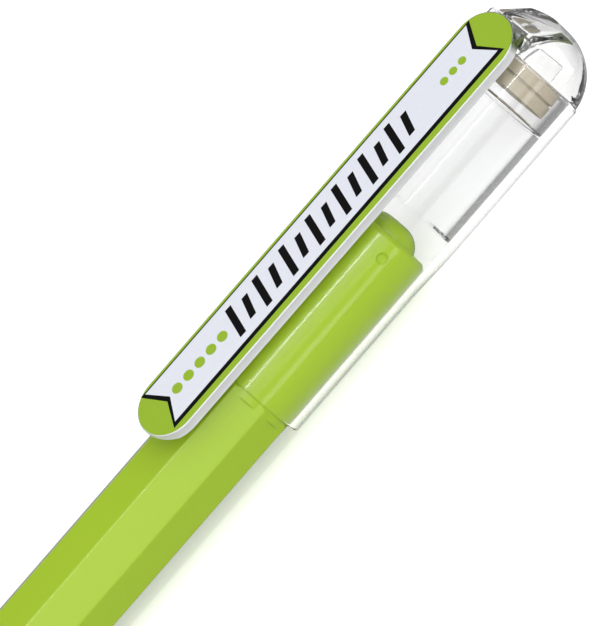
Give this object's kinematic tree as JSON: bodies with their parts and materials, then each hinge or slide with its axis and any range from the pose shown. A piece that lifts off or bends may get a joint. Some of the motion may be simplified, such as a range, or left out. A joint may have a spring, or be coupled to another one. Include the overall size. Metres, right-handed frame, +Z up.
{
  "type": "gel pen",
  "caption": "Slim capped gel pen with an octagonal barrel, a ribbed round grip, a clear domed cap posted on the rear end and a flat clip.",
  "frame": {"origin": "under the middle of the posted pen, level with the lowest point of the cap", "axes": "+X along the pen from the writing tip to the cap's crown, +Z up through the clip"},
  "size_m": [0.1624, 0.0122, 0.0144],
  "materials": {
    "barrel_green": "glossy opaque moulded plastic",
    "section_green": "glossy opaque moulded plastic",
    "clear_plastic": "clear polished plastic",
    "refill_clear": "translucent tube",
    "seal_tan": "soft rubber",
    "label_print": "printed film in white, green and black",
    "gel": "opaque gel",
    "grease": "clear grease",
    "holder_white": "moulded plastic",
    "point_metal": "turned nickel silver",
    "ball_metal": "polished"
  },
  "bodies": {
    "barrel": {"barrel": "barrel_green", "end_plug": "barrel_green"},
    "refill": {"refill_tube": "refill_clear", "gel_ink": "gel", "follower_grease": "grease", "tip_holder": "holder_white", "tip_point": "point_metal", "ball_spring": "point_metal"},
    "front_section": {"grip_section": "section_green", "nose_cone": "section_green"},
    "ball": {"tip_ball": "ball_metal"},
    "cap": {"cap_tube": "clear_plastic", "cap_crown": "clear_plastic", "inner_cap": "clear_plastic", "tip_seal": "seal_tan"},
    "clip": {"clip": "clear_plastic", "clip_label": "label_print"}
  },
  "joints": [
    {"name": "cap_slide", "type": "slide", "parent": "barrel", "child": "cap", "axis": [1, 0, 0], "range_m": [0, 0.032]},
    {"name": "clip_flex", "type": "hinge", "parent": "cap", "child": "clip", "pos_m": [0.07705, 0, 0.01188], "axis": [0, 1, 0], "range_deg": [0, 3], "stiffness_Nm_per_rad": 3},
    {"name": "section_turn", "type": "hinge", "parent": "barrel", "child": "refill", "pos_m": [0, 0, 0.00613], "axis": [1, 0, 0], "range_deg": [0, 1805]},
    {"name": "section_travel", "type": "slide", "parent": "refill", "child": "front_section", "axis": [-1, 0, 0], "range_m": [0, 0.00625]},
    {"name": "ball_roll", "type": "hinge", "parent": "refill", "child": "ball", "pos_m": [-0.0807, 0, 0.00613], "axis": [0, 1, 0], "continuous": true}
  ],
  "couplings": [
    {"joint": "section_turn", "follows": "section_travel", "rad_per_m": 5026.5}
  ]
}
